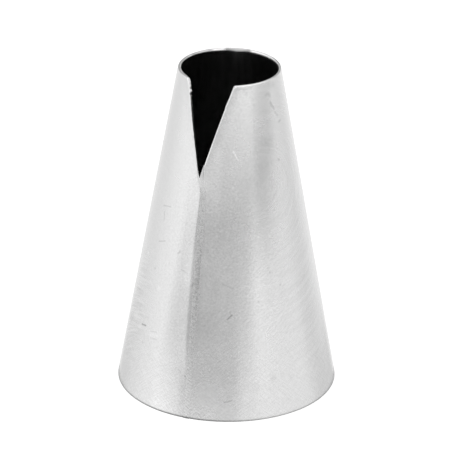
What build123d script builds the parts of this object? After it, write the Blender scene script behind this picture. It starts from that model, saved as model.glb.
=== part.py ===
from build123d import *
from math import atan, atan2, cos, degrees, tan
import os

os.makedirs("parts", exist_ok=True)

# A large piping nozzle: a blank of thin stainless sheet whose two ends are cut slanting at
# the top, rolled into a cone and butt welded, so that a V notch is left above the seam.
# Millimetres, +Z up. The origin is the centre of the base circle, and the notch faces -Y.

# Rolled cone, measured outside
base_diameter = 34.0
rim_diameter = 15.7
height = 52.0
sheet = 0.5
edge_break = 0.12

# V notch, cut straight through the front of the cone, its point a little beside the seam
notch_width = 7.3
notch_depth = 14.3
point_offset = 0.45
corner_round = 0.3

# Seam: the rolls leave the last stretch of each end flat, and the weld fills the gap
flat_width = 1.7
weld_width = 0.9
weld_crown = 0.05
weld_root = 0.08

# Every cut runs past the metal by this much
overrun = 2.0

base_radius = base_diameter / 2
rim_radius = rim_diameter / 2
taper = (base_radius - rim_radius) / height
wall_in_plan = sheet / cos(atan(taper))
flat_angle = atan2(flat_width, base_radius)
weld_half = weld_width / 2
deburr = min(edge_break, sheet / 4)

notch_half = notch_width / 2


def seam_distance(radius, beside):
    """How far from the axis a flat end lies at that distance beside the seam's middle."""
    return radius / cos(flat_angle) - beside * tan(flat_angle)


# The notch's outline, seen from the front: a V whose two shoulders round over to the rim
with BuildSketch(Plane.XZ) as notch:
    with BuildLine():
        Polyline(
            (-point_offset, height - notch_depth),
            (notch_half, height),
            (notch_half + overrun, height),
            (notch_half + overrun, height + overrun),
            (-notch_half - overrun, height + overrun),
            (-notch_half - overrun, height),
            (-notch_half, height),
            close=True,
        )
    make_face()
    shoulders = notch.vertices().group_by(Axis.Y)[1].sort_by(Axis.X)[1:3]
    fillet(shoulders, corner_round)


# The rolled blank: an open ring of sheet with flat ends, narrowing from the base to the rim
with BuildPart() as cone_wall:
    for level in (0, height):
        outside = base_radius - taper * level
        inside = outside - wall_in_plan
        with BuildSketch(Plane.XY.offset(level)):
            with BuildLine():
                turn = 360 - 2 * degrees(flat_angle)
                start = degrees(flat_angle) - 90
                outer = CenterArc((0, 0), outside, start, turn)
                inner = CenterArc((0, 0), inside, start, turn)
                for side, end in ((weld_half, 0), (-weld_half, 1)):
                    outer_end = (side, -seam_distance(outside, weld_half))
                    inner_end = (side, -seam_distance(inside, weld_half))
                    Line(outer @ end, outer_end)
                    Line(outer_end, inner_end)
                    Line(inner_end, inner @ end)
            make_face()
    loft(ruled=True)
    rim_edges = cone_wall.faces().filter_by(Axis.Z).edges().filter_by(Axis.Y, reverse=True)
    chamfer(rim_edges, deburr)
    extrude(notch.sketch, amount=base_radius + overrun, mode=Mode.SUBTRACT)
cone_wall.part.label = "cone_wall"
export_step(cone_wall.part, "parts/cone_wall.step")


# The weld: a bead in the gap, crowned outside and inside, that the notch ends at its point
with BuildPart() as seam_weld:
    for level in (0, height):
        outside = base_radius - taper * level
        inside = outside - wall_in_plan
        with BuildSketch(Plane.XY.offset(level)):
            with BuildLine():
                outer_y = -seam_distance(outside, weld_half)
                inner_y = -seam_distance(inside, weld_half)
                crown_y = -seam_distance(outside, 0) - weld_crown
                root_y = -seam_distance(inside, 0) + weld_root
                ThreePointArc((-weld_half, outer_y), (0, crown_y), (weld_half, outer_y))
                Line((weld_half, outer_y), (weld_half, inner_y))
                ThreePointArc((weld_half, inner_y), (0, root_y), (-weld_half, inner_y))
                Line((-weld_half, inner_y), (-weld_half, outer_y))
            make_face()
    loft(ruled=True)
    extrude(notch.sketch, amount=base_radius + overrun, mode=Mode.SUBTRACT)
seam_weld.part.label = "seam_weld"
export_step(seam_weld.part, "parts/seam_weld.step")
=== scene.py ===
"""A large V-notched piping nozzle of polished stainless sheet, on a pale studio floor.

The nozzle is one blank, rolled into a cone and butt welded below its notch. All lengths are in
metres. The cone stands on the floor around the Z axis, and the notch faces -Y.
"""

import logging
import math
from dataclasses import dataclass, field
from enum import Enum

import bpy
from bpy.types import Material, NodeSocket, NodeTree, Object
from mathutils import Matrix, Vector


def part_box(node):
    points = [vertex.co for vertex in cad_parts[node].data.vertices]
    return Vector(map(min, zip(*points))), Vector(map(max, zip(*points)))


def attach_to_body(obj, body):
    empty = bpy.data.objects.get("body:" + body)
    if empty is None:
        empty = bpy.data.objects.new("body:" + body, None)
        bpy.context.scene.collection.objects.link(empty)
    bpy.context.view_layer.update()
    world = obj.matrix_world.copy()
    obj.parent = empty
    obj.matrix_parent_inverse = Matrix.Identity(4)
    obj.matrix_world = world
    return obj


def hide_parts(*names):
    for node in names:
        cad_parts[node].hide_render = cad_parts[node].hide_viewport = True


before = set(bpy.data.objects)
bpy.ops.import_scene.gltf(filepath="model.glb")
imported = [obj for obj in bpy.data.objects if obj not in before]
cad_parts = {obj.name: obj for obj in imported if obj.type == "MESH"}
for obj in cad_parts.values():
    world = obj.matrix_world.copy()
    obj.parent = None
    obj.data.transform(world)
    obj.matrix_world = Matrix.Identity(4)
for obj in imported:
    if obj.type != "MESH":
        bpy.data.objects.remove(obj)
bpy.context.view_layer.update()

log = logging.getLogger("piping_nozzle")

MM = 0.001
QUARTER_TURN = math.pi / 2
HALF_TURN = math.pi
FULL_TURN = 2 * math.pi
BODY = "root"

Span = tuple[float, float]


class Node(Enum):
    """The two pieces of metal that the nozzle is made of."""

    WALL = "cone_wall"
    WELD = "seam_weld"


class Slot(Enum):
    """The names of the two metal finishes, which the script doesn't use."""

    SHEET = "polished_sheet"
    WELD = "ground_weld"


class Wire:
    """An output in a node tree. Python's own operators combine values into more nodes."""

    def __init__(self, tree: NodeTree, socket: NodeSocket) -> None:
        """Wraps an output socket of a node in a tree."""
        self.tree = tree
        self.socket = socket

    def output(self, name: str) -> "Wire":
        """Another output of the same node."""
        return Wire(self.tree, self.socket.node.outputs[name])

    def math(self, operation: str, *others: "Wire | float") -> "Wire":
        """The result of a Math node with this value and others, such as "MULTIPLY"."""
        return add_node(self.tree, "ShaderNodeMath", (self, *others), operation=operation)

    def __add__(self, other: "Wire | float") -> "Wire":
        """Sum of two values."""
        return self.math("ADD", other)

    __radd__ = __add__

    def __sub__(self, other: "Wire | float") -> "Wire":
        """Difference of two values."""
        return self.math("SUBTRACT", other)

    def __rsub__(self, other: float) -> "Wire":
        """A plain number less this value."""
        return self.math("MULTIPLY_ADD", -1.0, other)

    def __mul__(self, other: "Wire | float") -> "Wire":
        """Product of two values."""
        return self.math("MULTIPLY", other)

    __rmul__ = __mul__

    def __truediv__(self, other: "Wire | float") -> "Wire":
        """Quotient of two values."""
        return self.math("DIVIDE", other)

    def __neg__(self) -> "Wire":
        """This value with its sign turned."""
        return self * -1.0

    def sin(self) -> "Wire":
        """Sine of an angle in radians."""
        return self.math("SINE")

    def cos(self) -> "Wire":
        """Cosine of an angle in radians."""
        return self.math("COSINE")

    def arcsin(self) -> "Wire":
        """Angle whose sine this is."""
        return self.math("ARCSINE")

    def sqrt(self) -> "Wire":
        """Square root."""
        return self.math("SQRT")

    def power(self, exponent: float) -> "Wire":
        """This value raised to a power."""
        return self.math("POWER", exponent)

    def size(self) -> "Wire":
        """The value without its sign."""
        return self.math("ABSOLUTE")

    def at_least(self, other: "Wire | float") -> "Wire":
        """The larger of two values."""
        return self.math("MAXIMUM", other)

    def at_most(self, other: "Wire | float") -> "Wire":
        """The smaller of two values."""
        return self.math("MINIMUM", other)

    def share(self) -> "Wire":
        """This value, kept from zero to one."""
        return self.at_least(0.0).at_most(1.0)

    def over(self, other: "Wire | float") -> "Wire":
        """One where this value is the larger, else zero."""
        return self.math("GREATER_THAN", other)

    def choose(self, first: "Wire | float", second: "Wire | float") -> "Wire":
        """The first value where this one is one, and the second where it is zero."""
        return self * first + (1.0 - self) * second

    def ramp(self, start: float, end: float) -> "Wire":
        """A smooth step up, from zero before start to one after end."""
        inputs = (self, start, end)
        return add_node(self.tree, "ShaderNodeMapRange", inputs, interpolation_type="SMOOTHSTEP")

    def fall(self, start: float, end: float) -> "Wire":
        """A smooth step down, from one before start to zero after end."""
        return 1.0 - self.ramp(start, end)

    def hill(self, centre: float, reach: float) -> "Wire":
        """A smooth hill, from one at its centre down to zero at its reach from there."""
        return ((self - centre).size() / reach).fall(0.0, 1.0)

    def noise(self, scale: float, detail: float) -> "Wire":
        """Fixed noise at this place, from about -0.5 to 0.5, with finer layers as detail."""
        inputs = {"Vector": self, "Scale": scale, "Detail": detail}
        return add_node(self.tree, "ShaderNodeTexNoise", inputs) - 0.5


Place = tuple[Wire, Wire, Wire]
Value = Wire | Vector | Material | float | tuple[float, ...]


def feed(slot: NodeSocket, value: Value) -> None:
    """Gives an input socket its value.

    Args:
        slot: the input to set.
        value: a wire to link to it, or the plain value that it keeps.
    """
    if isinstance(value, Wire):
        value.tree.links.new(value.socket, slot)
    else:
        slot.default_value = value


def add_node(
    tree: NodeTree,
    kind: str,
    inputs: tuple[Value, ...] | dict[str, Value] = (),
    **options: str,
) -> Wire:
    """Adds one node to a tree.

    Args:
        tree: the tree that it joins.
        kind: the node's type.
        inputs: the values of its first inputs, in order, or of inputs by their names.
        options: the node's own options.

    Returns:
        The node's first output.
    """
    node = tree.nodes.new(kind)
    for name, choice in options.items():
        setattr(node, name, choice)
    for slot, value in inputs.items() if isinstance(inputs, dict) else enumerate(inputs):
        feed(node.inputs[slot], value)
    return Wire(tree, node.outputs[0])


def end_tree(kind: str, result: Wire) -> None:
    """Adds the output node that a tree ends in, and links the result to it."""
    feed(result.tree.nodes.new(kind).inputs[0], result)


def joined(x: Wire, y: Value, z: Value) -> Wire:
    """Joins three values into one place."""
    return add_node(x.tree, "ShaderNodeCombineXYZ", (x, y, z))


def parted(place: Wire) -> Place:
    """Takes a place apart into its three values."""
    parts = add_node(place.tree, "ShaderNodeSeparateXYZ", (place,))
    return parts, parts.output("Y"), parts.output("Z")


def turned(x: Wire, y: Wire, angle: float) -> tuple[Wire, Wire]:
    """How far a place lies ahead and to the right, where ahead is an angle from the notch."""
    sine, cosine = math.sin(math.radians(angle)), math.cos(math.radians(angle))
    return x * sine - y * cosine, x * cosine + y * sine


def grey(level: float) -> tuple[float, float, float, float]:
    """A plain grey as a colour."""
    return level, level, level, 1.0


@dataclass(frozen=True)
class Lattice:
    """A flat grid: its mesh, its number of steps each way, and the steps to a point in it."""

    mesh: Wire
    columns: Wire
    rows: Wire
    column: Wire
    row: Wire

    @property
    def near_end(self) -> Wire:
        """Steps to the nearer one of the left and the right edge."""
        return self.column.at_most(self.columns - self.column)

    @property
    def near_rim(self) -> Wire:
        """Steps to the nearer one of the lower and the upper edge."""
        return self.row.at_most(self.rows - self.row)


@dataclass
class Shape:
    """A Geometry Nodes tree that makes one closed piece of sheet from a rule.

    A flat grid is bent twice, into the sheet's outside and its inside. Both come together in
    the sheet's mid-surface along the grid's edges, where they are merged.
    """

    name: str
    merge_distance: float = 0.0002 * MM
    tree: NodeTree = field(init=False)
    entry: bpy.types.Node = field(init=False)
    settings: dict[str, float | int] = field(init=False, default_factory=dict)

    def __post_init__(self) -> None:
        """Starts the tree with its geometry output."""
        self.tree = bpy.data.node_groups.new(self.name, "GeometryNodeTree")
        self.tree.is_modifier = True
        face = self.tree.interface
        face.new_socket("Geometry", in_out="OUTPUT", socket_type="NodeSocketGeometry")
        self.entry = self.tree.nodes.new("NodeGroupInput")

    def size(self, name: str, value: float, kind: str = "NodeSocketFloat") -> Wire:
        """Adds a named size to the tree's inputs.

        Args:
            name: the input's name.
            value: what the modifier sets it to, in metres or as a plain number.
            kind: the input's type.

        Returns:
            The input inside the tree.
        """
        socket = self.tree.interface.new_socket(name, in_out="INPUT", socket_type=kind)
        self.settings[socket.identifier] = value
        return Wire(self.tree, self.entry.outputs[name])

    def grid(self, column_count: int, row_count: int) -> Lattice:
        """Adds the flat grid.

        Args:
            column_count: how many steps the grid has across.
            row_count: how many steps it has upwards.

        Returns:
            The grid.
        """
        columns = self.size("Columns", column_count, "NodeSocketInt")
        rows = self.size("Rows", row_count, "NodeSocketInt")
        mesh = add_node(self.tree, "GeometryNodeMeshGrid", {
            "Size X": columns,
            "Size Y": rows,
            "Vertices X": columns + 1.0,
            "Vertices Y": rows + 1.0,
        })
        x, y, _ = parted(add_node(self.tree, "GeometryNodeInputPosition"))
        return Lattice(mesh, columns, rows, x + columns / 2.0, y + rows / 2.0)

    def bent(self, mesh: Wire, place: Place, inner: bool) -> Wire:
        """Moves the grid's points onto one side of the sheet.

        Args:
            mesh: the flat grid.
            place: where each point goes along X, Y and Z.
            inner: whether this is the inner side, whose faces are turned round.

        Returns:
            The bent mesh.
        """
        inputs = {"Geometry": mesh, "Position": joined(*place)}
        moved = add_node(self.tree, "GeometryNodeSetPosition", inputs)
        return add_node(self.tree, "GeometryNodeFlipFaces", (moved,)) if inner else moved

    def noted(self, mesh: Wire, value: Value) -> tuple[Wire, Wire]:
        """Notes a value on a mesh's faces, for use after they are bent and joined.

        Args:
            mesh: the mesh.
            value: the value at each face.

        Returns:
            The mesh, and the value that was noted on it.
        """
        node = self.tree.nodes.new("GeometryNodeCaptureAttribute")
        node.domain = "FACE"
        node.capture_items.new("FLOAT", "Value")
        feed(node.inputs["Geometry"], mesh)
        feed(node.inputs["Value"], value)
        kept = Wire(self.tree, node.outputs["Geometry"])
        return kept, kept.output("Value")

    def close(
        self,
        sides: tuple[Wire, Wire],
        outside: Material,
        inside: Material,
        where: Wire,
    ) -> Object:
        """Joins the bent sides into one closed piece, dresses it and runs the tree.

        Args:
            sides: the meshes of the sheet's outside and inside.
            outside: the material of the polished faces.
            inside: the material of the others.
            where: one on the faces that get the inside's material.

        Returns:
            The piece as a plain mesh, at the origin, with no modifier left on it.
        """
        join = self.tree.nodes.new("GeometryNodeJoinGeometry")
        for side in sides:
            feed(join.inputs[0], side)
        merge = {"Geometry": Wire(self.tree, join.outputs[0]), "Distance": self.merge_distance}
        sheet = add_node(self.tree, "GeometryNodeMergeByDistance", merge)
        for kind in ("GeometryNodeSetShadeSmooth", "GeometryNodeRealizeInstances"):
            sheet = add_node(self.tree, kind, (sheet,))
        for dress in ({"Material": outside}, {"Material": inside, "Selection": where}):
            sheet = add_node(self.tree, "GeometryNodeSetMaterial", {"Geometry": sheet} | dress)
        end_tree("NodeGroupOutput", sheet)

        piece = bpy.data.objects.new(self.name, bpy.data.meshes.new(self.name))
        bpy.context.scene.collection.objects.link(piece)
        modifier = piece.modifiers.new(self.name, "NODES")
        modifier.node_group = self.tree
        for identifier, value in self.settings.items():
            modifier[identifier] = value
        graph = bpy.context.evaluated_depsgraph_get()
        mesh = bpy.data.meshes.new_from_object(piece.evaluated_get(graph), depsgraph=graph)
        piece.modifiers.remove(modifier)
        piece.data = mesh
        mesh.name = self.name
        return piece


@dataclass(frozen=True)
class Cone:
    """The rolled sheet's form in a tree, from the tree's named inputs."""

    base: Wire
    taper: Wire
    wall: Wire
    notch_floor: Wire

    def middle(self, z: Wire) -> Wire:
        """The radius of the sheet's middle at a height."""
        return self.base - self.taper * z - self.wall / 2.0


@dataclass
class RolledSheet:
    """The blank's own sizes, which the wall and the weld share.

    The weld drifts to the right of the front below the notch, and its strip and the flats beside
    it grow and shrink over spans of height. A foot is how far an edge of the notch is from the
    front at the notch's floor.
    """

    height: float
    base_radius: float
    rim_radius: float = 7.85 * MM
    sheet: float = 0.5 * MM
    base_break: float = 0.12 * MM
    seam_half: float = 0.45 * MM
    seam_drift: float = 0.39 * MM
    seam_start: float = -0.30 * MM
    drift_below_floor: float = 2.2 * MM
    drift_above_floor: float = 0.5 * MM
    strip_half: float = 0.42 * MM
    strip_spread: float = 0.62 * MM
    strip_grows: Span = (4 * MM, 14 * MM)
    strip_shrinks: Span = (22 * MM, 38 * MM)
    flat_at_base: float = 0.4 * MM
    flat_right: float = 1.25 * MM
    flat_left: float = 2.1 * MM
    flat_grows: Span = (3 * MM, 13 * MM)
    rim_flat_right: float = 1.7 * MM
    rim_flat_left: float = 1.5 * MM
    rim_flat_drop: float = 6 * MM
    notch_depth: float = 14.3 * MM
    notch_right: float = 3.50 * MM
    notch_left: float = 3.74 * MM
    right_foot: float = -0.38 * MM
    left_foot: float = 0.54 * MM

    @classmethod
    def from_frame(cls) -> "RolledSheet":
        """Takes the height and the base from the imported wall."""
        low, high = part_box(Node.WALL.value)
        height = high.z - low.z
        half_width = (high.x - low.x) / 2
        taper = (half_width - cls.rim_radius) / height
        return cls(height=height, base_radius=half_width + taper * cls.base_break)

    @property
    def taper(self) -> float:
        """How much the radius shrinks for each step up."""
        return (self.base_radius - self.rim_radius) / self.height

    @property
    def notch_floor(self) -> float:
        """The height that the notch's two edges are drawn from, close to its point."""
        return self.height - self.notch_depth

    @property
    def right_lean(self) -> float:
        """How far the notch's right edge goes out for each step up."""
        return (self.notch_right - self.right_foot) / self.notch_depth

    @property
    def left_lean(self) -> float:
        """How far the notch's left edge goes out for each step up."""
        return (self.notch_left - self.left_foot) / self.notch_depth

    def cone(self, shape: Shape) -> Cone:
        """Adds the sheet's form to a tree's named inputs."""
        return Cone(
            base=shape.size("Base radius", self.base_radius),
            taper=shape.size("Taper", self.taper),
            wall=shape.size("Wall in plan", self.sheet * math.hypot(1, self.taper)),
            notch_floor=shape.size("Notch floor", self.notch_floor),
        )

    def centre(self, z: Wire) -> Wire:
        """How far the weld has run to the right of the cone's front, at a height."""
        floor = self.notch_floor
        bend = z.ramp(floor - self.drift_below_floor, floor + self.drift_above_floor)
        return bend * (self.seam_start - self.seam_drift) + self.seam_drift

    def strip(self, z: Wire) -> Wire:
        """Half the width that the weld is ground flat over, at a height."""
        wide = z.ramp(*self.strip_grows) * z.fall(*self.strip_shrinks)
        return wide * self.strip_spread + self.strip_half

    def flat(self, z: Wire, beside: float, at_rim: float) -> Wire:
        """How far the blank's end stays straight where it went into the rolls, at a height.

        Args:
            z: the height.
            beside: how far it does so beside the seam, where it is widest.
            at_rim: how far it does so at the rim.

        Returns:
            The straight part's length.
        """
        grown = z.ramp(*self.flat_grows) * (beside - self.flat_at_base) + self.flat_at_base
        upper = z.ramp(self.notch_floor - self.rim_flat_drop, self.height - self.rim_flat_drop)
        return grown + upper * (at_rim - beside)

    def left_flat(self, z: Wire) -> Wire:
        """The straight part's length on the seam's left."""
        return self.flat(z, self.flat_left, self.rim_flat_left)

    def right_flat(self, z: Wire) -> Wire:
        """The straight part's length on the seam's right."""
        return self.flat(z, self.flat_right, self.rim_flat_right)

    def ground(self, middle: Wire, sine: Wire, cosine: Wire, z: Wire) -> Wire:
        """The radius of the plane that the weld and its sides are ground to.

        Args:
            middle: the radius of the rolled sheet's middle.
            sine: the sine of the angle from the cone's front.
            cosine: the cosine of that angle.
            z: the height.

        Returns:
            The plane's radius at that angle.
        """
        depths, ends = [], []
        for side, flat in ((-1.0, self.left_flat(z)), (1.0, self.right_flat(z))):
            facing = (self.centre(z) * side + self.seam_half + flat) / middle
            end = self.centre(z) * side + self.strip(z)
            depths.append((middle - end * facing.sin()) / facing.cos())
            ends.append(end)
        slope = (depths[0] - depths[1]) / (ends[0] + ends[1])
        return (depths[0] - slope * ends[0]) / (cosine + slope * sine)


@dataclass(frozen=True)
class EdgeBreaks:
    """How far one side of the sheet is rounded off along each of its edges."""

    rim: float
    base: float
    notch_right: float
    notch_left: float
    seam: float = 0.004 * MM
    lip: float = 0.0


@dataclass(frozen=True)
class Bump:
    """A rise of the notch's left edge, at a height above the notch's floor."""

    above_floor: float
    reach: float
    height: float


@dataclass(frozen=True)
class Spot:
    """Where a point of the wall's grid lies on the blank.

    The first steps from an edge turn round it by a quarter, up or in, and the rest share out
    the sheet. The bearing is a first guess of the point's angle from the front.
    """

    right: Wire
    at_rim: Wire
    end_only: Wire
    rim_only: Wire
    turn_in: Wire
    turn_up: Wire
    spread: Wire
    climb: Wire
    bearing: Wire
    wear: Wire
    top: Wire


@dataclass
class ConeWall:
    """The blank, rolled into a cone, with the notch between its two ends.

    The columns crowd towards the seam and the rows towards base and rim. The lip is the inner
    edge of the rim, beaten down most at its own angle. The nick is the small step in the
    notch's right edge where the cutter stopped, and the burr makes the left edge rough. Their
    heights are counted from the notch's floor.
    """

    sheet: RolledSheet
    columns: int = 300
    rows: int = 150
    edge_steps: int = 5
    column_crowding: float = 1.5
    row_crowding: float = 0.9
    first_bearing: float = 0.3
    outer: EdgeBreaks = EdgeBreaks(0.13 * MM, 0.12 * MM, 0.23 * MM, 0.15 * MM)
    inner: EdgeBreaks = EdgeBreaks(0.20 * MM, 0.05 * MM, 0.05 * MM, 0.05 * MM, lip=0.05 * MM)
    lip_drop: float = 3.0
    lip_angle: float = math.radians(150)
    lip_edge: float = 0.9
    right_shoulder: float = 0.28 * MM
    left_shoulder: float = 0.30 * MM
    shoulder_stretch: float = 0.85
    left_wear: float = 0.10 * MM
    wear_reach: float = 1.6 * MM
    open_reach: float = 1 * MM
    seam_blend: float = 0.11 * MM
    notch_blend: float = 0.06 * MM
    blend_changes: Span = (24 * MM, 36 * MM)
    steepest_cosine: float = 0.5
    rim_tilt: float = 0.12 * MM
    waviness: float = 0.012 * MM
    wave_scale: float = 5.0
    wave_climb: float = 6.0
    nick_depth: float = 0.06 * MM
    nick_starts: Span = (10.85 * MM, 11.0 * MM)
    nick_ends: Span = (11.0 * MM, 12.5 * MM)
    burr_depth: float = 0.22 * MM
    burr_scale: float = 2.1
    burr_starts: Span = (0.0, 3 * MM)
    burr_calms: Span = (8 * MM, 11 * MM)
    burr_calm: float = 0.65
    bumps: tuple[Bump, ...] = (
        Bump(12.2 * MM, 4.4 * MM, 0.08 * MM),
        Bump(12.4 * MM, 0.30 * MM, 0.10 * MM),
        Bump(11.9 * MM, 0.35 * MM, -0.03 * MM),
    )

    def build(self, outside: Material, inside: Material) -> Object:
        """Makes the wall's mesh.

        Args:
            outside: the material of the polished outside.
            inside: the material of the inner wall.

        Returns:
            The finished piece.
        """
        shape = Shape(Node.WALL.value + "_shell")
        grid = shape.grid(self.columns, self.rows)
        cone = self.sheet.cone(shape)
        spot = self._spot(grid, cone, shape.size("Height", self.sheet.height))
        unreached = grid.near_end.at_most(grid.near_rim).over(self.edge_steps)
        inner_mesh, where = shape.noted(grid.mesh, unreached)
        outer_side = shape.bent(grid.mesh, self._side(cone, spot, self.outer, 1.0), inner=False)
        inner_side = shape.bent(inner_mesh, self._side(cone, spot, self.inner, -1.0), inner=True)
        return shape.close((outer_side, inner_side), outside, inside, where)

    def _spot(self, grid: Lattice, cone: Cone, height: Wire) -> Spot:
        """Works out where the points of the grid lie on the blank.

        Args:
            grid: the flat grid.
            cone: the sheet's form.
            height: the cone's height.

        Returns:
            The place of each point, with the height that the sheet's top has there.
        """
        steps, half_columns = self.edge_steps, grid.columns / 2.0
        right = half_columns.over(grid.column - 0.5)
        turn_in, turn_up = (
            ((near - 1.0) / (steps - 1.0)).share() * QUARTER_TURN
            for near in (grid.near_end, grid.near_rim)
        )
        spread = ((grid.near_end - steps) / (half_columns - steps)).at_least(0.0)
        spread = spread.power(self.column_crowding)
        climb = ((grid.row - steps) / (grid.rows - 2.0 * steps)).share()
        climb = climb - (climb * FULL_TURN).sin() * (self.row_crowding / FULL_TURN)
        turned_away = spread * (HALF_TURN - self.first_bearing) + self.first_bearing
        bearing = (right * 2.0 - 1.0) * turned_away

        shoulder = right.choose(self.right_shoulder, self.left_shoulder)
        rim_radius = cone.base - cone.taper * height
        from_notch = spread * rim_radius * (HALF_TURN * self.shoulder_stretch)
        short = (shoulder - from_notch).at_least(0.0)
        rounding = (shoulder.power(2.0) - short.power(2.0)).at_least(0.0).sqrt()
        tilt = (1.0 - bearing.cos()) * (self.rim_tilt / 2.0)
        return Spot(
            right=right,
            at_rim=grid.row.over(grid.rows / 2.0),
            end_only=grid.near_end.at_most(1.0),
            rim_only=grid.near_rim.at_most(1.0),
            turn_in=turn_in,
            turn_up=turn_up,
            spread=spread,
            climb=climb,
            bearing=bearing,
            wear=from_notch.fall(0.0, self.wear_reach) * (1.0 - right) * self.left_wear,
            top=height - (shoulder - rounding) - tilt,
        )

    def _side(self, cone: Cone, spot: Spot, breaks: EdgeBreaks, sign: float) -> Place:
        """Rolls one side of the sheet.

        Both sides have the outer side's breaks where they meet in the middle of the sheet, and
        their own breaks elsewhere.

        Args:
            cone: the sheet's form.
            spot: where the grid's points lie on the blank.
            breaks: how far this side's edges are rounded off.
            sign: one for the outside, and minus one for the inside.

        Returns:
            Where the grid's points go along X, Y and Z.
        """
        half_wall = cone.wall / 2.0
        lip = (spot.bearing - self.lip_angle).cos().ramp(-self.lip_edge, self.lip_edge)
        lip = lip * spot.at_rim * breaks.lip
        shared_up = spot.at_rim.choose(spot.wear + self.outer.rim, self.outer.base)
        own_up = spot.at_rim.choose(spot.wear + breaks.rim, breaks.base) + lip
        break_up = shared_up + spot.end_only * (own_up - shared_up)
        rise = break_up * (1.0 - spot.turn_up.cos())
        rise = rise + lip * spot.end_only * spot.turn_up * self.lip_drop
        half_up = (half_wall - break_up) * spot.rim_only + break_up * spot.turn_up.sin()
        z = rise + spot.climb * (spot.top - rise * 2.0)

        middle = cone.middle(z)
        right_end, left_end = self._ends(cone, middle, z)
        shared_in = self._end_break(self.outer, spot.right, z)
        own_in = self._end_break(breaks, spot.right, z)
        break_in = shared_in + spot.rim_only * (own_in - shared_in)
        half_in = (half_wall - break_in) * spot.end_only + break_in * spot.turn_in.sin()
        half_span = (FULL_TURN - right_end - left_end) * middle / 2.0
        along = break_in * (1.0 - spot.turn_in.cos()) + spot.spread * (half_span - break_in)

        angle = (spot.right * 2.0 - 1.0) * (spot.right.choose(right_end, left_end) + along / middle)
        sine, cosine = angle.sin(), angle.cos()
        flat = spot.right.choose(self.sheet.right_flat(z), self.sheet.left_flat(z))
        rolled = middle / ((flat - along).at_least(0.0) / middle).cos()
        ground = self.sheet.ground(middle, sine, cosine.at_least(self.steepest_cosine), z)
        blend = z.ramp(*self.blend_changes) * (self.notch_blend - self.seam_blend) + self.seam_blend
        waves = joined(cosine, sine, z * self.wave_climb).noise(self.wave_scale, 2.0) * self.waviness
        radius = rolled.math("SMOOTH_MIN", ground, blend) + waves + half_in.at_most(half_up) * sign
        return radius * sine, -(radius * cosine), z

    def _ends(self, cone: Cone, middle: Wire, z: Wire) -> tuple[Wire, Wire]:
        """The angles from the front to the blank's right end and to its left end.

        Args:
            cone: the sheet's form.
            middle: the radius of the sheet's middle.
            z: the height.

        Returns:
            Both angles at that height, in radians.
        """
        size, centre, above = self.sheet, self.sheet.centre(z), z - cone.notch_floor
        right = (above * size.right_lean + size.right_foot).at_least(centre + size.seam_half)
        left = (above * size.left_lean + size.left_foot).at_least(size.seam_half - centre)
        nick = (above.ramp(*self.nick_ends) - above.ramp(*self.nick_starts)) * self.nick_depth
        calm = 1.0 - above.ramp(*self.burr_calms) * self.burr_calm
        burr = joined(z / MM, 0.0, 0.0).noise(self.burr_scale, 2.0) * calm * self.burr_depth
        for bump in self.bumps:
            burr = burr + above.hill(bump.above_floor, bump.reach) * bump.height
        left = left - burr * above.ramp(*self.burr_starts)
        return ((right + nick) / middle).arcsin(), (left / middle).arcsin()

    def _end_break(self, breaks: EdgeBreaks, right: Wire, z: Wire) -> Wire:
        """How far a side is rounded off at the blank's ends, in the notch and at the seam."""
        floor = self.sheet.notch_floor
        in_notch = z.ramp(floor - self.open_reach, floor + self.open_reach)
        in_full = right.choose(breaks.notch_right, breaks.notch_left)
        return in_notch * (in_full - breaks.seam) + breaks.seam


@dataclass
class SeamWeld:
    """The bead between the blank's two ends, ground nearly flush with the wall.

    Its ripples follow one another at a pitch. They slant across it by a share of the pitch, and
    noise makes them uneven by a few radians.
    """

    sheet: RolledSheet
    columns: int = 26
    rows: int = 420
    crown: float = 0.012 * MM
    root: float = 0.036 * MM
    ripple: float = 0.004 * MM
    ripple_edge: float = 0.6
    pitch: float = 0.52 * MM
    slant: float = 0.55
    uneven: float = 5.0
    uneven_scale: float = 1.3

    def build(self, outside: Material, inside: Material) -> Object:
        """Makes the bead's mesh.

        Args:
            outside: the material of the ground face.
            inside: the material of the root inside the cone.

        Returns:
            The finished piece.
        """
        shape = Shape(Node.WELD.value + "_bead")
        size = self.sheet
        grid = shape.grid(self.columns, self.rows)
        cone = size.cone(shape)
        crown = shape.size("Crown", self.crown)
        root = shape.size("Root", self.root)
        ripple = shape.size("Ripple", self.ripple)
        pitch = shape.size("Pitch", self.pitch)

        off_edge = grid.near_end.at_most(1.0) * grid.near_rim.at_most(1.0)
        across = ((grid.column - 1.0) / (grid.columns - 2.0)).share()
        across = -(across * HALF_TURN).cos()
        start = across * size.seam_half + size.seam_start
        above_right = (start - size.right_foot) / size.right_lean
        above_left = (start + size.left_foot) / -size.left_lean
        top = cone.notch_floor + above_right.at_least(above_left)
        z = ((grid.row - 1.0) / (grid.rows - 2.0)).share() * top

        middle = cone.middle(z)
        angle = ((size.centre(z) + across * size.seam_half) / middle).arcsin()
        sine, cosine = angle.sin(), angle.cos()
        ground = size.ground(middle, sine, cosine, z)
        arch = 1.0 - across.power(2.0)
        phase = (z / pitch + across * self.slant) * FULL_TURN
        phase = phase + joined(across, 0.0, z / MM).noise(self.uneven_scale, 2.0) * self.uneven
        beads = phase.sin() * ripple * arch.at_most(self.ripple_edge)
        outer = ground + (cone.wall / 2.0 + arch * crown + beads) * off_edge
        inner = ground - (cone.wall / 2.0 + arch * root + beads) * off_edge
        root_mesh, where = shape.noted(grid.mesh, 1.0)
        face = shape.bent(grid.mesh, (outer * sine, -(outer * cosine), z), inner=False)
        back = shape.bent(root_mesh, (inner * sine, -(inner * cosine), z), inner=True)
        return shape.close((face, back), outside, inside, where)


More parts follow.
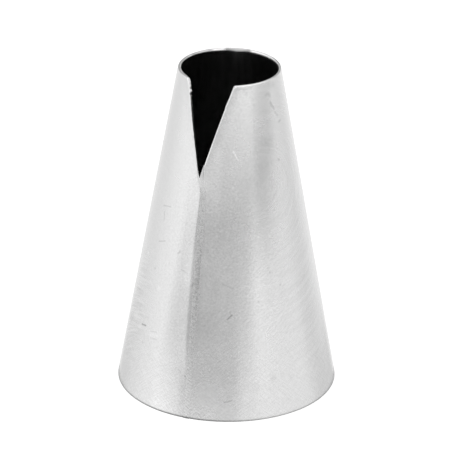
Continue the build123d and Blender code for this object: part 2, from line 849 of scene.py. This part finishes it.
class Finish:
    """A material under construction, which reads its place on the object."""

    def __init__(self, name: str) -> None:
        """Starts an empty material.

        Args:
            name: the material's name.
        """
        self.material = bpy.data.materials.new(name)
        self.material.use_nodes = True
        self.tree = self.material.node_tree
        self.tree.nodes.clear()
        self.place = add_node(self.tree, "ShaderNodeTexCoord").output("Object")
        self.x, self.y, self.z = parted(self.place)
        self.radius = (self.x.power(2.0) + self.y.power(2.0)).sqrt()

    def around(self) -> Wire:
        """The angle around the cone from the seam, in radians, growing to the right."""
        return self.x.math("ARCTAN2", -self.y)

    def ray(self, kind: str) -> Wire:
        """One for rays of one kind, such as "Is Glossy Ray", and zero for others."""
        return add_node(self.tree, "ShaderNodeLightPath").output(kind)

    def mixed(self, share: Wire, first: Wire, second: Wire) -> Wire:
        """Mixes two shaders, with this share of the second."""
        return add_node(self.tree, "ShaderNodeMixShader", (share, first, second))

    def clear(self) -> Wire:
        """A shader that lets every ray through."""
        return add_node(self.tree, "ShaderNodeBsdfTransparent")

    def closed(self, shader: Wire) -> Material:
        """Ends the material with its shader."""
        end_tree("ShaderNodeOutputMaterial", shader)
        return self.material


class Metal(Finish):
    """Bare metal under construction."""

    def __init__(self, name: str) -> None:
        """Starts a material with one metallic shader.

        Args:
            name: the material's name.
        """
        super().__init__(name)
        self.shader = add_node(self.tree, "ShaderNodeBsdfPrincipled", {"Metallic": 1.0})
        self.inputs = self.shader.socket.node.inputs

    def brushed(self, anisotropy: float) -> None:
        """Stretches the metal's highlights along the cone, by a share from 0 to 1."""
        self.inputs["Anisotropic"].default_value = anisotropy
        self.inputs["Anisotropic Rotation"].default_value = 0.25
        around = add_node(self.tree, "ShaderNodeTangent", direction_type="RADIAL", axis="Z")
        feed(self.inputs["Tangent"], around)

    def coloured(self, level: Wire, roughness: Wire) -> None:
        """Gives the metal a grey and a roughness that vary over the surface."""
        feed(self.inputs["Base Color"], joined(level, level, level))
        feed(self.inputs["Roughness"], roughness)

    def relief(self, height: Wire, depth: float) -> None:
        """Turns a height into bump, where a height of one is as deep as this."""
        bump = add_node(self.tree, "ShaderNodeBump", {"Distance": depth, "Height": height})
        feed(self.inputs["Normal"], bump)

    def facing(self, angle: float) -> Wire:
        """How far the surface is turned away from an angle in degrees, in radians."""
        ahead, aside = turned(self.x, self.y, angle)
        return aside.math("ARCTAN2", ahead)

    def vectors(self, operation: str, *values: Wire | Vector) -> Wire:
        """Adds one Vector Math node."""
        return add_node(self.tree, "ShaderNodeVectorMath", values, operation=operation)

    def distance(self, centre: Vector) -> Wire:
        """How far the surface is from a point, in metres."""
        return self.vectors("DISTANCE", self.place, centre).output("Value")

    def near_line(self, start: Vector, end: Vector, reach: float) -> Wire:
        """Marks the surface along a short straight line.

        Args:
            start: where the line begins.
            end: where it ends, which is another point.
            reach: how far from the line the mark fades out, in metres.

        Returns:
            One on the line, and zero at the reach and beyond.
        """
        run = end - start
        offset = self.vectors("SUBTRACT", self.place, start)
        dot = self.vectors("DOT_PRODUCT", offset, run).output("Value")
        scaled = {"Vector": run, "Scale": (dot / run.length_squared).share()}
        nearest = add_node(self.tree, "ShaderNodeVectorMath", scaled, operation="SCALE")
        return self.vectors("DISTANCE", offset, nearest).output("Value").fall(0.0, reach)


@dataclass(frozen=True)
class FootShade:
    """Painted shade along the thin edge that stands on the floor, darkest at the front: the contact
    shadow's reflection, painted into the grey.
    """

    tone: float = 0.2
    front_tone: float = 0.3
    front_spread: float = 55.0
    fades: Span = (0.10 * MM, 0.40 * MM)

    def on(self, metal: Metal) -> Wire:
        """How much the painted shade darkens a metal at each place."""
        front = metal.around().hill(0.0, math.radians(self.front_spread))
        return metal.z.fall(*self.fades) * (front * self.front_tone + self.tone)


@dataclass(frozen=True)
class SeamPits:
    """The small dark pits that the weld leaves in the ground strip.

    They show over shares of the strip's half width: they thin out towards its edges, and are
    weaker on its left. They also thin out over spans of height.
    """

    sheet: RolledSheet
    size: float = 0.30 * MM
    tone: float = 0.16
    pit_levels: Span = (0.0, 0.16)
    edge_shares: Span = (0.7, 1.15)
    left_shares: Span = (-0.9, 0.3)
    left_strength: float = 0.6
    starts: Span = (8 * MM, 20 * MM)
    ends: Span = (33 * MM, 39 * MM)

    def on(self, metal: Metal) -> Wire:
        """How much darker the pits make a metal at each place."""
        across = (metal.x - self.sheet.centre(metal.z)) / self.sheet.strip(metal.z)
        weaker = across.ramp(*self.left_shares) * (1.0 - self.left_strength) + self.left_strength
        share = across.size().fall(*self.edge_shares) * weaker
        share = share * metal.z.ramp(*self.starts) * metal.z.fall(*self.ends)
        front = (-metal.y).ramp(0.0, MM)
        pits = metal.place.noise(1 / self.size, 1.0).ramp(*self.pit_levels)
        return pits * share * front * self.tone


@dataclass(frozen=True)
class Whirl:
    """The fine arcs that a turning polishing pad leaves round one point.

    The point is at an angle from the seam in degrees, at a height in millimetres and at a share
    of the cone's radius there. The arcs show round another angle, and are gone at a spread of so
    many degrees from it, or at their reach from the point.
    """

    angle: float
    height: float
    share: float
    strength: float
    facing: float
    spread: float
    reach: float = 100 * MM


@dataclass(frozen=True)
class Mark:
    """One scratch, dent, smudge or patch of painted light, shade or highlight, from one place on the
    cone to another.

    A place is its angle from the seam in degrees and its height in millimetres. Both places
    have the same share of the cone's radius.
    """

    start: tuple[float, float]
    end: tuple[float, float]
    reach: float
    tone: float
    dip: float = 0.0
    share: float = 1.0


@dataclass(frozen=True)
class PolishedSheet:
    """Stainless sheet, rolled and then polished with a turning pad.

    Its grey and its roughness vary with clouds, with the pad's arcs, with a fine peel and with
    hairlines across the foot. The peel is strongest at the front. Spans of height and of
    degrees from the seam say where each of them starts, weakens or ends.
    """

    sheet: RolledSheet
    level: float = 0.82
    roughness: float = 0.26
    anisotropy: float = 0.6
    relief_depth: float = 0.010 * MM
    peel_size: float = 0.30 * MM
    peel_tone: float = 0.09
    front_peel_tone: float = 0.19
    front_angle: float = 22.0
    front_spread: float = 54.0
    front_calm: float = 0.6
    right_calm: float = 0.06
    foot_calm: float = 0.4
    cloud_size: float = 6.0 * MM
    cloud_tone: float = 0.03
    cloud_roughness: float = 0.10
    arc_pitch: float = 0.42 * MM
    arc_length: float = 3.0 * MM
    arc_tone: float = 0.06
    arc_roughness: float = 0.05
    arc_fade: float = 0.75
    arcs_start: Span = (2 * MM, 11 * MM)
    hair_pitch: float = 0.18 * MM
    hair_length: float = 2.2 * MM
    hair_lean: float = math.radians(52)
    hair_tone: float = 0.15
    hairs_end: Span = (6 * MM, 15 * MM)
    right_starts: Span = (2.0, 18.0)
    right_ends: Span = (20 * MM, 34 * MM)
    rim_smooths: Span = (26 * MM, 46 * MM)
    rim_smoothness: float = 0.4
    whirls: tuple[Whirl, ...] = (
        Whirl(51.0, 36.0, 1.0, 3.0, 86.0, 50.0),
        Whirl(-26.0, -9.0, 1.0, 7.0, -53.0, 25.0, 35 * MM),
        Whirl(-70.0, -4.0, 1.9, 0.8, -60.0, 100.0),
        Whirl(20.0, 60.0, 1.0, 0.8, 40.0, 60.0),
        Whirl(150.0, 30.0, 1.2, 1.0, 160.0, 70.0),
    )
    marks: tuple[Mark, ...] = (
        Mark((26.6, 42.1), (31.0, 40.7), 0.20 * MM, 0.16),
        Mark((1.1, 39.4), (6.7, 43.0), 0.30 * MM, 0.16),
        Mark((69.6, 48.5), (73.8, 47.4), 0.38 * MM, -0.16, -0.3),
        Mark((74.9, 46.8), (75.2, 46.7), 0.30 * MM, -0.15),
        Mark((76.8, 46.4), (78.4, 46.1), 0.28 * MM, -0.12),
        Mark((78.8, 45.1), (81.6, 45.2), 0.28 * MM, -0.15, -0.3),
        Mark((64.6, 49.9), (66.8, 50.0), 0.42 * MM, -0.10),
        Mark((69.4, 49.8), (70.3, 49.6), 0.38 * MM, -0.11),
        Mark((71.0, 51.4), (78.0, 50.9), 0.90 * MM, -0.07),
        Mark((26.0, 51.5), (46.0, 51.5), 0.40 * MM, -0.12),
        Mark((39.0, 51.2), (41.0, 50.8), 0.70 * MM, -0.07),
        Mark((70.9, 39.6), (72.0, 39.4), 0.32 * MM, -0.14),
        Mark((22.6, 16.1), (25.6, 16.8), 0.18 * MM, -0.34, -0.8),
        Mark((24.0, 17.2), (25.0, 16.9), 0.14 * MM, -0.20),
        Mark((-38.8, 11.8), (-34.6, 12.0), 0.24 * MM, -0.38, -0.5),
        Mark((49.0, 6.2), (50.0, 6.4), 0.75 * MM, -0.08),
        Mark((21.5, 3.1), (25.2, 3.4), 0.22 * MM, -0.22, -0.4),
        Mark((-0.9, 6.5), (-0.8, 6.6), 0.24 * MM, -0.22, -0.4),
        Mark((2.2, 6.6), (2.3, 6.7), 0.22 * MM, -0.16, -0.3),
        Mark((0.2, 5.9), (0.3, 6.0), 0.26 * MM, -0.28, -0.4),
        Mark((-36.0, 31.4), (-27.5, 31.8), 0.18 * MM, -0.12),
        Mark((-34.0, 30.5), (-33.0, 29.3), 0.22 * MM, -0.10),
        Mark((-34.8, 25.7), (-28.0, 26.3), 0.18 * MM, -0.13),
        Mark((-34.8, 21.3), (-34.2, 21.4), 0.22 * MM, -0.14),
        Mark((-47.2, 22.7), (-46.8, 22.8), 0.26 * MM, 0.16),
        Mark((-28.0, 18.6), (-27.4, 18.8), 0.60 * MM, 0.05),
        Mark((-29.3, 11.6), (-24.0, 11.9), 0.20 * MM, -0.08),
        Mark((-28.3, 10.6), (-23.2, 10.8), 0.20 * MM, -0.09),
        Mark((-29.0, 11.1), (-23.0, 11.4), 0.45 * MM, 0.04),
        Mark((-35.2, 9.1), (-35.0, 9.2), 0.26 * MM, -0.12),
        Mark((-45.9, 18.0), (-45.7, 18.0), 0.24 * MM, -0.10),
        Mark((-46.3, 18.7), (-46.1, 18.7), 0.24 * MM, -0.10),
        Mark((-0.9, 20.8), (-0.3, 21.2), 0.28 * MM, -0.20),
        Mark((19.3, 21.6), (26.6, 20.9), 0.18 * MM, -0.10),
        Mark((-14.5, 25.2), (-13.0, 25.6), 0.26 * MM, -0.14),
        Mark((-10.2, 22.9), (-5.4, 22.6), 0.20 * MM, -0.10),
        Mark((52.4, 22.8), (52.6, 22.7), 0.26 * MM, -0.14),
        Mark((59.7, 20.4), (60.0, 20.3), 0.26 * MM, -0.12),
        Mark((42.8, 18.6), (43.0, 18.5), 0.26 * MM, -0.12),
        # Broad lighter and darker patches: painted light and shade that match the tones of the
        # reflections.
        Mark((16.0, 21.0), (28.0, 21.5), 6.0 * MM, 0.06),
        Mark((14.0, 31.0), (28.0, 31.0), 5.0 * MM, -0.06),
        Mark((8.0, 5.0), (12.0, 6.0), 5.0 * MM, -0.04),
        Mark((-3.0, 22.0), (1.0, 25.0), 2.4 * MM, 0.10),
        # Lighter lines along the inner edge of the rim on the left: painted highlight.
        Mark((-30.0, 51.9), (-51.0, 51.9), 0.36 * MM, 0.14, 0.0, 0.95),
        Mark((-54.0, 51.9), (-75.0, 51.9), 0.36 * MM, 0.14, 0.0, 0.95),
        Mark((180.0, 51.8), (205.0, 51.8), 0.80 * MM, -0.58, 0.0, 0.92),
        Mark((226.0, 51.8), (250.0, 51.8), 0.80 * MM, -0.42, 0.0, 0.92),
    )

    def _on_cone(self, angle: float, height: float, share: float) -> Vector:
        """A point at a share of the cone's radius, from degrees and millimetres."""
        turn = math.radians(angle)
        radius = (self.sheet.base_radius - self.sheet.taper * height * MM) * share
        return Vector((radius * math.sin(turn), -radius * math.cos(turn), height * MM))

    def _arcs(self, metal: Metal, whirl: Whirl) -> Wire:
        """The arcs of one whirl, above and below zero."""
        gap = metal.distance(self._on_cone(whirl.angle, whirl.height, whirl.share))
        shown = metal.facing(whirl.facing).hill(0.0, math.radians(whirl.spread)) * whirl.strength
        shown = shown * gap.fall(whirl.reach * self.arc_fade, whirl.reach)
        lengthwise = (metal.x / self.arc_length, metal.z / self.arc_length)
        return joined(gap / self.arc_pitch, *lengthwise).noise(1.0, 1.0) * shown

    def _hairs(self, metal: Metal, lean: float) -> Wire:
        """The hairlines that cross the sheet's foot, which lean this far from upright."""
        aside = metal.around() * metal.radius
        along = metal.z * math.cos(lean) + aside * math.sin(lean)
        across = aside * math.cos(lean) - metal.z * math.sin(lean)
        return joined(across / self.hair_pitch, along / self.hair_length, 0.0).noise(1.0, 1.0)

    def material(self) -> Material:
        """Builds the finish.

        Returns:
            The material.
        """
        metal = Metal("polished_sheet")
        metal.brushed(self.anisotropy)
        peel = metal.place.noise(1 / self.peel_size, 0.5)
        clouds = metal.place.noise(1 / self.cloud_size, 3.0)
        front = metal.around().hill(math.radians(self.front_angle), math.radians(self.front_spread))
        arcs = sum(self._arcs(metal, whirl) for whirl in self.whirls)
        arcs = arcs * metal.z.ramp(*self.arcs_start) * (1.0 - front * self.front_calm)

        foot = metal.z.fall(*self.hairs_end)
        right = metal.around().ramp(*map(math.radians, self.right_starts))
        right = right * metal.z.fall(*self.right_ends)
        rising = self._hairs(metal, self.hair_lean) * foot.at_least(right)
        falling = self._hairs(metal, -self.hair_lean) * foot
        fresh = front * (self.front_peel_tone - right * self.right_calm) + self.peel_tone
        grain = arcs * self.arc_tone + peel * fresh * (1.0 - foot * self.foot_calm)
        worn = 1.0 - metal.z.ramp(*self.rim_smooths) * self.rim_smoothness
        tone = clouds * self.cloud_tone + grain * worn + (rising + falling) * self.hair_tone
        # Painted shade darkens the foot's edge; the pits are the weld's own dark marks.
        tone = tone - FootShade().on(metal) - SeamPits(self.sheet).on(metal)
        dips = peel + arcs
        for mark in self.marks:
            ends = (self._on_cone(*place, mark.share) for place in (mark.start, mark.end))
            shown = metal.near_line(*ends, mark.reach)
            tone = tone + shown * mark.tone
            dips = dips + shown * mark.dip
        roughness = self.roughness + clouds * self.cloud_roughness + arcs * self.arc_roughness
        metal.coloured(self.level + tone, roughness)
        metal.relief(dips * worn, self.relief_depth)
        return metal.closed(metal.shader)


@dataclass(frozen=True)
class DullAndShadedInside:
    """The inner wall, which no polishing wheel reaches, with faint streaks up and down it. Its low
    grey is partly its own duller finish and partly painted shade of the cone's dark inside.
    """

    # Low grey: partly the unpolished finish, partly painted shade for the shaded inside.
    level: float = 0.32
    roughness: float = 0.22
    streak_scale: float = 18.0
    streak_climb: float = 8.0
    streak_tone: float = 0.06
    streak_roughness: float = 0.12

    def material(self) -> Material:
        """Builds the finish.

        Returns:
            The material.
        """
        metal = Metal("dull_and_shaded_inside")
        place = joined(metal.x / metal.radius, metal.y / metal.radius, metal.z * self.streak_climb)
        streaks = place.noise(self.streak_scale, 3.0)
        roughness = self.roughness + streaks * self.streak_roughness
        metal.coloured(self.level + streaks * self.streak_tone, roughness)
        return metal.closed(metal.shader)


@dataclass(frozen=True)
class GroundWeld:
    """The weld's face, ground and polished with the wall, with pits left in it."""

    sheet: RolledSheet
    level: float = 0.82
    roughness: float = 0.27
    anisotropy: float = 0.6
    grain_size: float = 0.34 * MM
    grain_tone: float = 0.2
    grain_roughness: float = 0.1

    def material(self) -> Material:
        """Builds the finish.

        Returns:
            The material.
        """
        metal = Metal("ground_weld")
        metal.brushed(self.anisotropy)
        specks = metal.place.noise(1 / self.grain_size, 1.0)
        # Painted shade darkens the weld's foot where it meets the floor.
        level = self.level + specks * self.grain_tone - FootShade().on(metal)
        roughness = self.roughness + specks * self.grain_roughness
        metal.coloured(level - SeamPits(self.sheet).on(metal), roughness)
        return metal.closed(metal.shader)


@dataclass(frozen=True)
class Card:
    """A low card that stands round the nozzle and shows only as a reflection in the metal.

    Its ends are bearings in degrees, to the right of the camera's own, which may differ at its
    foot and its top. Inside its left and right end it fades over so many degrees.
    """

    name: str
    level: float
    foot: float
    top: float
    foot_ends: tuple[float, float]
    top_ends: tuple[float, float]
    fades: tuple[float, float] = (0.0, 0.0)


@dataclass
class Studio:
    """The pale floor, the soft surround with its cards, and the camera.

    The surround has a level for each bearing. Above the haze, its back, its left and its top
    have levels of their own, which come in over a span of the way there.
    """

    target_height: float
    distance: float = 652.5 * MM
    azimuth: float = 22.5
    elevation: float = 24.58
    roll: float = 0.60
    focal_px: float = 4223.0
    picture_px: float = 450.0
    offset_px: tuple[float, float] = (2.95, 3.10)
    sensor_mm: float = 36.0
    seen: Span = (0.01, 10.0)
    floor_half: float = 1.5
    floor_level: float = 0.55
    floor_glow: float = 0.6
    floor_gap: float = 0.5 * MM
    card_radius: float = 110 * MM
    card_gap: float = 1 * MM
    card_steps: int = 24
    haze: Span = (0.10, 0.30)
    back_level: float = 0.42
    back_patch: Span = (0.35, 0.75)
    left_level: float = 1.20
    left_patch: Span = (0.55, 0.85)
    top_level: float = 1.25
    top_patch: Span = (0.55, 0.85)
    surround_stops: tuple[tuple[float, float], ...] = (
        (-180.0, 1.00), (-150.0, 0.87), (-132.0, 0.84), (-114.0, 0.87), (-96.0, 0.95),
        (-80.0, 1.00), (-64.0, 1.10), (-48.0, 0.95), (-30.0, 0.92), (40.0, 1.18),
        (70.0, 0.94), (96.0, 0.83), (120.0, 0.78), (148.0, 0.91), (180.0, 1.00),
    )
    cards: tuple[Card, ...] = (
        Card("front_card", 0.40, -14 * MM, 27 * MM, (-56.0, -8.0), (-39.0, 5.0)),
        Card("front_end_card", 0.50, -15 * MM, 39 * MM, (-10.0, 25.0), (-12.0, 52.0), (0.0, 20.0)),
        Card("left_card", 0.70, -12 * MM, 18 * MM, (-77.0, -48.0), (-60.0, -38.0)),
        Card("side_card", 0.05, 20 * MM, 36 * MM, (18.0, 57.0), (42.0, 99.0), (7.0, 9.0)),
        Card("low_right_card", 0.91, -34 * MM, 1 * MM, (17.0, 95.0), (11.0, 94.0)),
        Card("low_left_card", 1.35, -58 * MM, -18 * MM, (-74.0, -8.0), (-78.0, -10.0)),
        Card("far_right_card", 0.68, -70 * MM, -27 * MM, (98.0, 150.0), (107.0, 150.0)),
        Card("far_left_card", 0.74, -70 * MM, -24 * MM, (-150.0, -112.0), (-150.0, -122.0)),
    )

    def camera(self) -> Object:
        """Places the camera at the photograph's viewing angle.

        Returns:
            The camera, which is also the scene's.
        """
        turn, lift, roll = (math.radians(v) for v in (self.azimuth, self.elevation, self.roll))
        level = math.cos(lift)
        back = Vector((math.sin(turn) * level, -math.cos(turn) * level, math.sin(lift)))
        side = Vector((math.cos(turn), math.sin(turn), 0.0))
        up = back.cross(side)
        right = math.cos(roll) * side + math.sin(roll) * up
        above = math.cos(roll) * up - math.sin(roll) * side
        eye = Vector((0.0, 0.0, self.target_height)) + self.distance * back
        aim = self.focal_px * back + self.offset_px[0] * right + self.offset_px[1] * above
        aim.normalize()
        right = (right - right.dot(aim) * aim).normalized()
        above = aim.cross(right)
        lens = bpy.data.cameras.new("camera")
        lens.sensor_width = self.sensor_mm
        lens.lens = self.focal_px / self.picture_px * self.sensor_mm
        lens.clip_start, lens.clip_end = self.seen
        camera = bpy.data.objects.new("camera", lens)
        rotation = Matrix((right, above, aim)).transposed().to_4x4()
        camera.matrix_world = Matrix.Translation(eye) @ rotation
        bpy.context.scene.collection.objects.link(camera)
        bpy.context.scene.camera = camera
        return camera

    def surround(self) -> None:
        """Lights the scene with a soft surround, darker where the photographer stands."""
        world = bpy.data.worlds.new("surround")
        bpy.context.scene.world = world
        world.use_nodes = True
        tree = world.node_tree
        tree.nodes.clear()
        x, y, height = parted(add_node(tree, "ShaderNodeTexCoord").output("Generated"))
        ahead, aside = turned(x, y, self.azimuth)
        bearing = aside.math("ARCTAN2", ahead) / FULL_TURN + 0.5
        colour = add_node(tree, "ShaderNodeValToRGB", (bearing,))
        stops = colour.socket.node.color_ramp.elements
        for _ in self.surround_stops[2:]:
            stops.new(1.0)
        for stop, (angle, level) in zip(stops, self.surround_stops):
            stop.position = angle / 360.0 + 0.5
            stop.color = grey(level)
        above = height.ramp(*self.haze)
        patches = (
            (above * (-ahead).ramp(*self.back_patch), self.back_level),
            (above * (-aside).ramp(*self.left_patch), self.left_level),
            (height.ramp(*self.top_patch), self.top_level),
        )
        for share, level in patches:
            colour = add_node(tree, "ShaderNodeMixRGB", (share, colour, grey(level)))
        light = add_node(tree, "ShaderNodeBackground", (colour,))
        white = add_node(tree, "ShaderNodeBackground", (grey(1.0),))
        seen = add_node(tree, "ShaderNodeLightPath").output("Is Camera Ray")
        end_tree("ShaderNodeOutputWorld", add_node(tree, "ShaderNodeMixShader", (seen, light, white)))

    def stand_cards(self) -> None:
        """Stands the cards round the nozzle."""
        for order, card in enumerate(self.cards):
            radius = self.card_radius - order * self.card_gap
            points, faces = [], []
            for step in range(self.card_steps + 1):
                share = step / self.card_steps
                for z, ends in ((card.foot, card.foot_ends), (card.top, card.top_ends)):
                    turn = math.radians(self.azimuth + ends[0] + (ends[1] - ends[0]) * share)
                    points.append((radius * math.sin(turn), -radius * math.cos(turn), z))
                if step:
                    faces.append((2 * step - 2, 2 * step, 2 * step + 1, 2 * step - 1))
            self._stage(card.name, points, faces, self._card_paint(card))

    def floor(self, nozzle_radius: float) -> None:
        """Lays the pale floor, which lets reflections see the surround.

        Args:
            nozzle_radius: the radius round the origin that the nozzle covers.
        """
        half = self.floor_half
        corners = [(-half, -half, 0.0), (half, -half, 0.0), (half, half, 0.0), (-half, half, 0.0)]
        self._stage("floor", corners, [(0, 1, 2, 3)], self._floor_paint(nozzle_radius))

    def _stage(self, name: str, points: list, faces: list, paint: Material) -> None:
        """Puts a painted mesh into the scene that belongs to the studio."""
        mesh = bpy.data.meshes.new(name)
        mesh.from_pydata(points, [], faces)
        mesh.materials.append(paint)
        prop = bpy.data.objects.new(name, mesh)
        bpy.context.scene.collection.objects.link(prop)

    def _card_paint(self, card: Card) -> Material:
        """Shows a card's own level to the metal, and nothing of it to anything else."""
        paint = Finish(card.name)
        bearing = paint.around() * (360.0 / FULL_TURN) - self.azimuth
        share = (paint.z - card.foot) / (card.top - card.foot)
        shown = paint.ray("Is Glossy Ray")
        for side, fade, foot, top in zip((1.0, -1.0), card.fades, card.foot_ends, card.top_ends):
            if fade:
                end = share * (top - foot) + foot
                shown = shown * ((bearing - end) * side).ramp(0.0, fade)
        glow = add_node(paint.tree, "ShaderNodeEmission", (grey(card.level),))
        return paint.closed(paint.mixed(shown, paint.clear(), glow))

    def _floor_paint(self, nozzle_radius: float) -> Material:
        """White to the camera, apart from the nozzle's shadow."""
        paint = Finish("floor_paint")
        pale = add_node(paint.tree, "ShaderNodeBsdfDiffuse", (grey(self.floor_level),))
        glow = add_node(paint.tree, "ShaderNodeEmission", {"Strength": self.floor_glow})
        bright = add_node(paint.tree, "ShaderNodeAddShader", (pale, glow))
        seen = paint.mixed(paint.ray("Is Camera Ray"), pale, bright)
        outside = paint.radius.over(nozzle_radius + self.floor_gap) * paint.ray("Is Glossy Ray")
        return paint.closed(paint.mixed(outside, seen, paint.clear()))


def attach(piece: Object, node: Node) -> None:
    """Puts a finished piece in the place of its CAD node.

    Args:
        piece: the finished piece.
        node: the node that it stands for.
    """
    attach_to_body(piece, BODY)
    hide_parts(node.value)
    log.info("%s stands for %s, with %d points", piece.name, node.value, len(piece.data.vertices))


def main() -> None:
    """Builds the nozzle and its studio in order."""
    logging.basicConfig(level=logging.INFO, format="%(message)s")
    bpy.context.scene.view_settings.view_transform = "Standard"
    sheet = RolledSheet.from_frame()
    studio = Studio(target_height=sheet.height / 2)
    studio.camera()
    studio.surround()
    studio.stand_cards()
    studio.floor(sheet.base_radius)
    dull_and_shaded = DullAndShadedInside().material()
    attach(ConeWall(sheet).build(PolishedSheet(sheet).material(), dull_and_shaded), Node.WALL)
    attach(SeamWeld(sheet).build(GroundWeld(sheet).material(), dull_and_shaded), Node.WELD)


if __name__ == "__main__":
    main()
